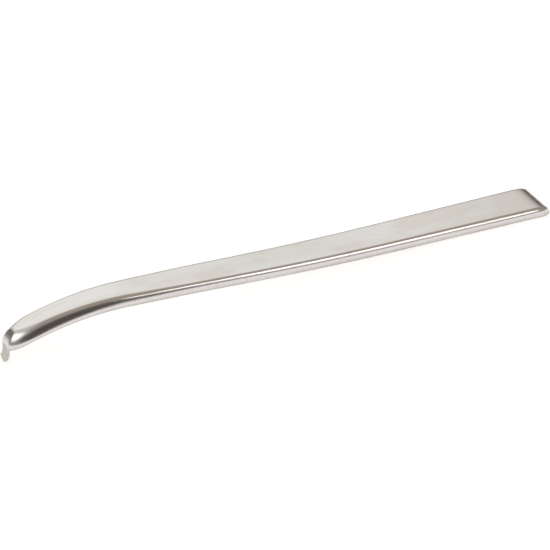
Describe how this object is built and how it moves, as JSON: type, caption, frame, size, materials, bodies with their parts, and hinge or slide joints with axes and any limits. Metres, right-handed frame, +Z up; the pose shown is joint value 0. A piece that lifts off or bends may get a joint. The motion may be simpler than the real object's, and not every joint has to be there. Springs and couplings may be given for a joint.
{
  "type": "tyre lever",
  "caption": "Slim pressed steel tyre lever with rolled edges, a broad flat tail and a curved nose that ends in a small spoke hook.",
  "frame": {"origin": "on the surface that the lever lies on, under the middle of its bounding box", "axes": "+X along the lever from the hooked nose to the tail, +Y across it on the side that the hook's barb points to, +Z up"},
  "size_m": [0.1258, 0.0102, 0.0098],
  "materials": {
    "plated_steel": "bright nickel plate over pressed steel"
  },
  "bodies": {
    "root": {"lever": "plated_steel"}
  },
  "joints": []
}
